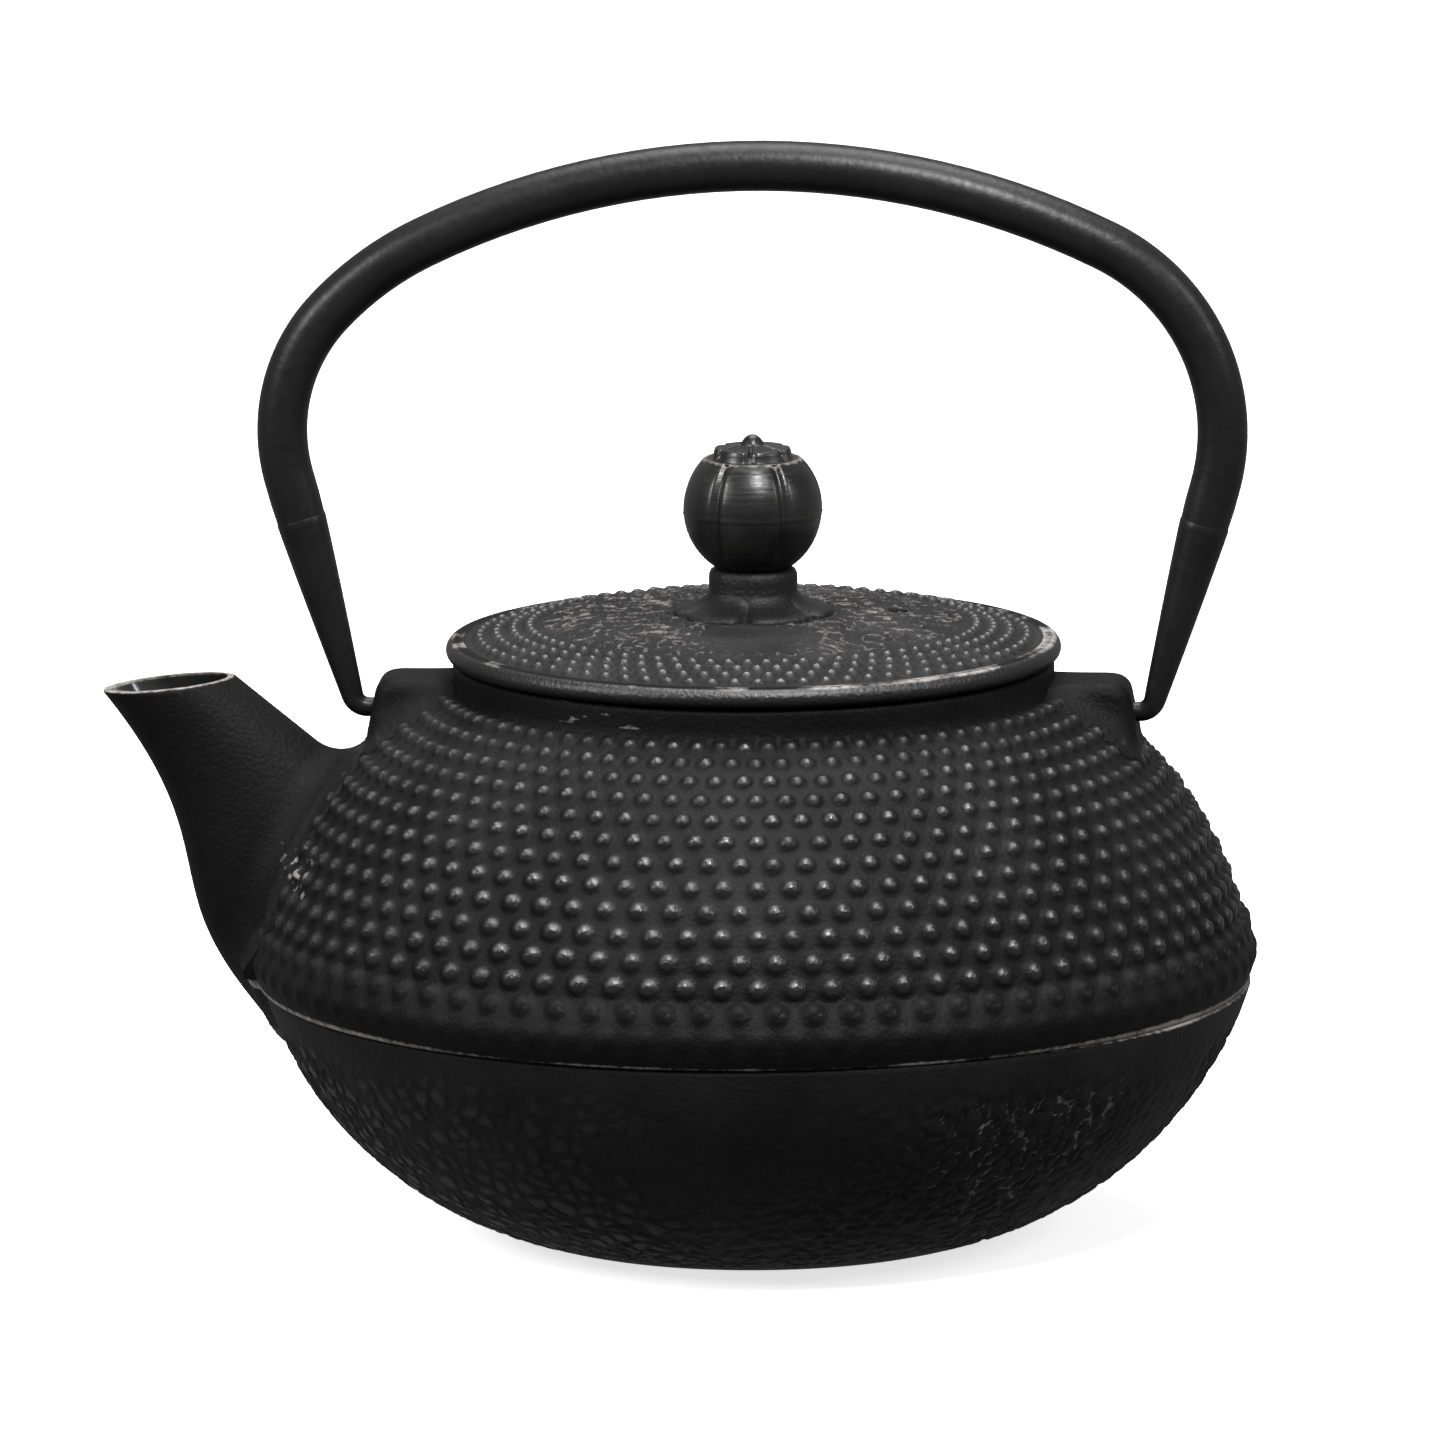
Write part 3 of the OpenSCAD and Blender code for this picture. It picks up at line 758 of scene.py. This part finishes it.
def lid_ridges(points):
    """Worm-like cast ridges on the middle of the lid, calmer in one spot and fading at its edge."""
    warp = points + 1.6 * np.column_stack([noise3(points + k, 6.0) for k in (11, 23, 37)])
    ridges = 1 - np.clip(np.abs(noise3(warp, 2.7)) * 5.5, 0, 1)
    ridges += 0.6 * (1 - np.clip(np.abs(noise3(warp + 60, 1.6)) * 5.0, 0, 1))
    calm = smooth(np.hypot(points[:, 0] - 2, (points[:, 1] + 22) * 0.9), 5, 12)
    fade = 1 - smooth(np.hypot(points[:, 0], points[:, 1]), 32.5, RIDGES_R)
    return 0.34 * ridges * (0.3 + 0.7 * calm) * fade


def lid_nub_height(theta, r):
    """Height of the small nubs, in rings that are half a step out of line with their neighbours."""
    height = np.zeros_like(r)
    for k, ring_r in enumerate(LID_NUB_RINGS):
        t = theta / (2 * pi) * LID_NUBS - 0.5 * (k % 2)
        u = (t - np.round(t)) * 2 * pi / LID_NUBS * ring_r
        q = np.minimum(np.hypot(u / 1.4, (r - ring_r) / 1.2), 1)
        height = np.maximum(height, 0.85 * (1 - q * q) ** 1.3)
    return height


def make_lid():
    profile, top_rows = lid_profile()
    cols = LID_NUBS * 12
    theta = np.linspace(0, 2 * pi, cols, endpoint=False)
    r = np.repeat(profile[:, :1], cols, 1)
    z = np.repeat(profile[:, 1:], cols, 1)
    th = np.repeat(theta[None], len(profile), 0)
    top = (np.arange(len(profile)) < top_rows)[:, None] & (r > CROWN_R)
    lift = lid_nub_height(th, r) * top
    centre = top & (r < RIDGES_R)
    points = np.column_stack([(r * np.cos(th))[centre], (r * np.sin(th))[centre], z[centre]])
    lift[centre] = lid_ridges(points)
    rings = np.stack([r * np.cos(th), r * np.sin(th), z + lift], axis=-1)
    ob = skin("lid_casting", rings)
    vent_x, vent_y, vent_r = VENT
    below_lid, above_lid = 88, 104
    vent = [[(vent_x + vent_r * cos(a), vent_y + vent_r * sin(a), h)
             for a in np.linspace(0, 2 * pi, 32, endpoint=False)] for h in (below_lid, above_lid)]
    boolean(ob, skin("vent", np.array(vent)), "DIFFERENCE")
    lid_marks(ob)
    finish_piece(ob, "lid_unit", "cast_iron", IRON, "lid")


def lid_marks(ob):
    """Where the lid is worn bright or rubbed glossy, and where its top gets the lighter grey ground:
    partly a dusting, partly painted light from above.
    """
    p = coords(ob)
    r, z = np.hypot(p[:, 0], p[:, 1]), p[:, 2]
    inner_edge = np.exp(-((r - (LID_RIM_IN + 0.7)) / 0.35) ** 2) * (z > LID_Z + 2.6)
    outer_edge = 0.9 * np.exp(-((r - 47.6) / 0.7) ** 2) * (z > LID_Z + 2.4)
    patchy = smooth(noise3(p + 3, 9.0), -0.1, 0.4)
    wear = np.maximum(inner_edge, outer_edge) * (0.35 + 0.65 * patchy)
    on_top = z > LID_Z + 2.7
    lifted = np.where(on_top & (r < LID_RIM_IN), z - lid_dome(r), 0)
    wear = np.maximum(wear, smooth(lifted, 0.04, 0.26) * (r < RIDGES_R) * 0.55)
    nub_gloss = smooth(lifted, 0.35, 0.75) * (r > RIDGES_R)
    rim_gloss = 0.55 * (np.abs(z - LID_Z - 1.6) < 1.5) * (r > 46)
    set_attribute(ob, "wear", wear)
    set_attribute(ob, "gloss", np.maximum(nub_gloss, rim_gloss))
    # Painted light: the lid's top inside the rim gets the lighter grey ground, partly a dusting and partly
    # light falling from above.
    set_attribute(ob, "greying", on_top * (r < 46) * (0.7 + 0.3 * patchy))


def make_knob_seat():
    """A foot with six notches that flares out of a short round neck."""
    phi = np.linspace(0, 2 * pi, 240, endpoint=False)
    turn = (phi + radians(93)) / (2 * pi) * PETALS
    notch = np.exp(-(np.abs(turn - np.round(turn)) * 2 * pi / PETALS * SEAT_R / 1.25) ** 2)
    notched = SEAT_R - 2.6 * notch  # radius of the foot where it is fully notched
    # the foot as (share of the full radius, height, how deep the notches are cut)
    foot = [(1.0, 0.0, 0.9), (1.0, 0.35, 1.0), (0.97, 0.75, 1.0), (0.9, 1.05, 1.0), (0.8, 1.35, 0.8),
            (0.68, 1.9, 0.5), (0.6, 2.6, 0.2), (0.56, 3.3, 0.0)]
    neck = [(7.0, 3.8), (7.05, 5.4), (7.0, 6.3), (6.75, 6.9), (6.2, 7.25), (0.2, 7.3)]
    rows = [(0.2, 0.0)]
    rows += [(np.maximum(lerp(SEAT_R, notched, cut) * share, 6.9), h) for share, h, cut in foot]
    rows += neck
    base = LID_CROWN_Z + 0.02
    rings = np.array([np.column_stack([r * np.cos(phi), r * np.sin(phi), base + h + 0 * phi])
                      for r, h in rows])
    ob = skin("knob_seat_casting", rings)
    # The seat gets a little of the lighter grey ground, partly a dusting and partly painted light from
    # above.
    for name, value in (("wear", 0.0), ("gloss", 0.2), ("greying", 0.12)):
        set_attribute(ob, name, np.full(len(ob.data.vertices), value))
    finish_piece(ob, "lid_unit", "cast_iron", IRON, "knob_seat", angle=50)


def knob_rows():
    """(r, z) points up the knob's round side and in over its flat top; and where the top starts."""
    rows = [(0.2, SEAT_TOP), (5.8, SEAT_TOP)]
    for a in np.linspace(-57, 45.6, 64):
        rows.append((KNOB_R * cos(radians(a)), KNOB_Z + KNOB_R * sin(radians(a))))
    rows += [(7.6, KNOB_TOP - 0.05), (7.3, KNOB_TOP), (6.8, KNOB_TOP)]
    top_start = len(rows)
    rows += [(r, KNOB_TOP) for r in np.arange(6.6, 0.05, -0.15)]
    return np.array(rows), top_start


def from_cuts(angle, offset):
    """Angle to the nearest of the six cuts, the first of which is at -offset."""
    turn = (angle + offset) / (2 * pi) * PETALS
    return np.abs(turn - np.round(turn)) * 2 * pi / PETALS


def flower_height(r, phi):
    """The flower on the knob's top: six petals parted by cuts, and a round boss in the middle."""
    from_cut = r * np.sin(np.minimum(from_cuts(phi, pi / 2), pi / 2))
    edge = 6.45 - 0.5 * (1 - smooth(from_cut, 0.0, 1.3))
    mound = 1.7 * smooth(edge - r, 0.0, 0.55) + 0.55 * smooth(5.4 - r, 0, 3.6)
    mound -= 0.95 * (1 - smooth(from_cut, 0.1, 0.42)) * smooth(r, 1.6, 2.4) * smooth(edge - r, 0.0, 0.6)
    boss = (BOSS_TOP - KNOB_TOP - 0.02) * np.sqrt(np.clip(1 - (r / 2.35) ** 2, 0, 1))
    return np.maximum(mound, boss)


def make_knob():
    """A grooved ball with a parting line, flat on top with a flower."""
    rows, top_start = knob_rows()
    cols = 288
    phi = np.linspace(0, 2 * pi, cols, endpoint=False)
    r = np.repeat(rows[:, :1], cols, 1)
    z = np.repeat(rows[:, 1:], cols, 1)
    ph = np.repeat(phi[None], len(rows), 0)
    row = np.arange(len(rows))[:, None]
    side = (row >= 2) & (row < top_start - 3)
    from_groove = from_cuts(ph, radians(90 - 31)) * KNOB_R
    groove = 0.75 * np.exp(-(from_groove / 0.75) ** 2) * smooth(z, KNOB_Z - 8.5, KNOB_Z - 5.5) * side
    parting = 0.12 * np.exp(-((z - KNOB_Z + 0.6) / 0.18) ** 2) * side
    r = r - groove + parting - 0.13 * side
    z = z + (row >= top_start) * flower_height(r, ph)
    rings = np.stack([r * np.cos(ph), r * np.sin(ph), z], axis=-1)
    ob = skin("knob_ball", rings)
    p = coords(ob)
    # Painted highlight: the bright band round the top edge is partly bare worn iron and partly a painted
    # highlight of that edge.
    wear = np.exp(-((np.hypot(p[:, 0], p[:, 1]) - 7.6) / 0.6) ** 2) * (p[:, 2] > KNOB_TOP - 1) * 0.8
    set_attribute(ob, "wear", wear)
    finish_piece(ob, "lid_unit", "polished_iron", SATIN, "knob", angle=60)


# ---- handle ----

def arc_chain(arcs, step):
    """Points (x, z, heading) down a chain of arcs from the top of the arch, then to the tube's end."""
    path = [(0.0, ARCH_Z, 0.0)]
    for radius, angle in arcs:
        x, z, h = path[-1]
        for k in range(1, int(angle / step) + 2):
            g = h + angle * k / (int(angle / step) + 1)
            path.append((x + radius * (sin(radians(g)) - sin(radians(h))),
                         z + radius * (cos(radians(g)) - cos(radians(h))), g))
    x, z, h = path[-1]
    for f in (0.5, 1.0):
        drop = (z - TUBE_END_Z) * f
        path.append((x - drop * tan(radians(LEG_LEAN)), z - drop, h))
    return path


def sweep(name, path, radii, cols=48):
    """A round bar along (x, z, heading) points in the plane y = 0."""
    a = np.linspace(0, 2 * pi, cols, endpoint=False)
    rings = []
    for (x, z, h), r in zip(path, radii):
        up = np.array([sin(radians(h)), 0, cos(radians(h))])
        rings.append(np.array([x, 0, z]) + r * (np.outer(np.cos(a), up) + np.outer(np.sin(a), [0, 1, 0])))
    return skin(name, np.array(rings))


def make_handle():
    """The arch, and an end piece on each side that hooks into its ear."""
    back = arc_chain(BACK_ARCS, 2)
    front = arc_chain(SPOUT_ARCS, 2)
    left = [(-x, z, -h) for x, z, h in reversed(front[1:])]
    path = [(x + ARCH_X, z, h) for x, z, h in left + back]
    radii = [TUBE_R] * len(path)
    radii[0] = radii[-1] = TUBE_R - TUBE_EDGE
    finish_piece(sweep("handle_arch", path, radii), "handle", "black_paint", PAINT, "handle_tube")
    for side, leg, node in ((1, back[-1][0] + ARCH_X, "handle_end_back"),
                            (-1, front[-1][0] - ARCH_X, "handle_end_spout_side")):
        make_handle_end(side, leg, node)


def make_handle_end(side, leg_x, node):
    """A tapered leg down from the tube, a tight bend inwards and the hook's pin."""
    lean = radians(LEG_LEAN)
    bend_z = PIVOT_Z + HOOK_BEND_R * (1 - sin(lean))
    bend_x = leg_x - (TUBE_END_Z - bend_z) * tan(lean)
    path, radii = [], []
    for f in np.concatenate([[0, 0.012], np.linspace(0.04, 1, 16)]):
        path.append((lerp(leg_x, bend_x, f), lerp(TUBE_END_Z, bend_z, f), 90 + LEG_LEAN))
        radii.append(lerp(TUBE_R, HOOK_ROOT_R, f ** 1.12) - (TUBE_EDGE if f == 0 else 0))
    for k in range(1, 10):
        h = 90 + LEG_LEAN + (90 - LEG_LEAN) * k / 9
        path.append((bend_x + HOOK_BEND_R * (sin(radians(h)) - cos(lean)),
                     bend_z + HOOK_BEND_R * (cos(radians(h)) + sin(lean)), h))
        radii.append(lerp(HOOK_ROOT_R, HOOK_TIP_R, k / 9))
    for x, r in ((PIN_ROOT_X, PIN_R), (58, PIN_R), (PIN_END_X + 0.5, PIN_R), (PIN_END_X, PIN_R - 0.4)):
        path.append((x, PIVOT_Z, 180))
        radii.append(r)
    ob = sweep(node.replace("handle_end", "handle_hook"), path, radii, 40)
    if side < 0:
        for v in ob.data.vertices:
            v.co.x = -v.co.x
        ob.data.flip_normals()
    finish_piece(ob, "handle", "black_paint", PAINT, node, angle=35)


# ---- infuser ----

def perforated(name, cols, rows, place, node):
    """A sheet of square cells, each with a square hole, made thick both ways."""
    verts = [place(i / rows, 2 * pi * j / cols) for i in range(rows + 1) for j in range(cols)]
    ob = new_object(name, verts, grid_faces(rows + 1, cols))
    bm = bmesh.new()
    bm.from_mesh(ob.data)
    cut = bmesh.ops.inset_individual(bm, faces=bm.faces[:], thickness=MESH_BAR * MM, depth=0)
    bars = set(cut["faces"])
    holes = [f for f in bm.faces if f not in bars]
    bmesh.ops.delete(bm, geom=holes, context="FACES")
    bm.to_mesh(ob.data)
    bm.free()
    mod = ob.modifiers.new("thickness", "SOLIDIFY")
    mod.thickness = MESH_THICK * MM
    mod.offset = 0
    finish_piece(ob, "infuser", "steel_mesh", MESH_STEEL, node, angle=30)


def make_infuser():
    wall_r = BASKET_R - 0.25

    def wall(t, a):
        return wall_r * cos(a), wall_r * sin(a), lerp(BASKET_Z + 0.8, BASKET_TOP - 0.8, t)

    def floor(t, a):
        r = lerp(2, 32.6, t)
        return r * cos(a), r * sin(a), BASKET_Z + 0.85

    perforated("infuser_mesh_wall", 150, 24, wall, "infuser_wall")
    perforated("infuser_mesh_floor", 96, 20, floor, "infuser_floor")


def dress_steel_parts():
    """The plain steel parts keep their CAD meshes and only get a material."""
    for name in ("infuser_rim", "infuser_hoop", "knob_screw", "knob_washer"):
        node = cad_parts[name]
        node.data.materials.clear()
        node.data.materials.append(STEEL)


# ---- studio ----

def area_light(name, at, target, size, power, size_y):
    """A rectangular light that faces a point; places and sizes in metres."""
    data = bpy.data.lights.new(name, "AREA")
    data.shape = "RECTANGLE"
    data.size, data.size_y = size, size_y
    data.energy = power
    ob = bpy.data.objects.new(name, data)
    ob.location = at
    ob.rotation_euler = (Vector(target) - Vector(at)).to_track_quat("-Z", "Y").to_euler()
    bpy.context.scene.collection.objects.link(ob)


def studio():
    """A pale floor that throws no light on the pot, a weak white world and four soft lights."""
    scene = bpy.context.scene
    half, below = 3000, -0.1
    square = [(-half, -half, below), (half, -half, below), (half, half, below), (-half, half, below)]
    floor = new_object("studio_floor", square, [[0, 1, 2, 3]])
    mat, tree, shader = node_material("pale_floor")
    soft = textured(tree, "ShaderNodeTexNoise", 3.0).outputs["Fac"]
    tree.links.new(ramp(tree, soft, [(0.0, 0.82), (1.0, 0.86)]), shader.inputs["Base Color"])
    shader.inputs["Roughness"].default_value = 0.8
    shader.inputs["Emission Color"].default_value = (1, 1, 1, 1)
    shader.inputs["Emission Strength"].default_value = 0.72
    floor.data.materials.append(mat)
    floor.visible_diffuse = False
    floor.visible_glossy = False
    world = bpy.data.worlds.new("studio")
    scene.world = world
    world.use_nodes = True
    sky = world.node_tree.nodes["Background"]
    sky.inputs["Color"].default_value = (1, 1, 1, 1)
    sky.inputs["Strength"].default_value = 0.28
    area_light("top_softbox", (0.0, 0.25, 1.2), (0, 0, 0.08), 0.8, 20, 0.8)
    area_light("key_softbox", (0.25, -0.75, 1.15), (0, 0, 0.06), 0.17, 30, 0.45)
    area_light("left_softbox", (-1.0, -0.6, 0.75), (0, 0, 0.08), 0.22, 14, 0.5)
    area_light("right_softbox", (1.1, -0.4, 0.8), (0, 0, 0.1), 0.2, 6, 0.5)
    scene.view_settings.view_transform = "Standard"


def camera():
    """The photograph's view: nearly level, a long lens, from slightly to the back-ear side."""
    distance, elevation, azimuth, roll = 3.0, radians(10.1), radians(4.0), radians(-0.33)
    target = Vector((-0.0050, 0, 0.0814))
    direction = Vector((sin(azimuth) * cos(elevation), -cos(azimuth) * cos(elevation), sin(elevation)))
    data = bpy.data.cameras.new("photo_view")
    data.lens, data.sensor_width = 471, 36
    ob = bpy.data.objects.new("photo_view", data)
    ob.location = target + direction * distance
    rotation = (-direction).to_track_quat("-Z", "Y").to_matrix().to_4x4()
    ob.rotation_euler = (rotation @ Matrix.Rotation(roll, 4, "Z")).to_euler()
    bpy.context.scene.collection.objects.link(ob)
    bpy.context.scene.camera = ob


camera()
make_pot()
make_lining()
make_lid()
make_knob_seat()
make_knob()
make_handle()
make_infuser()
dress_steel_parts()
studio()
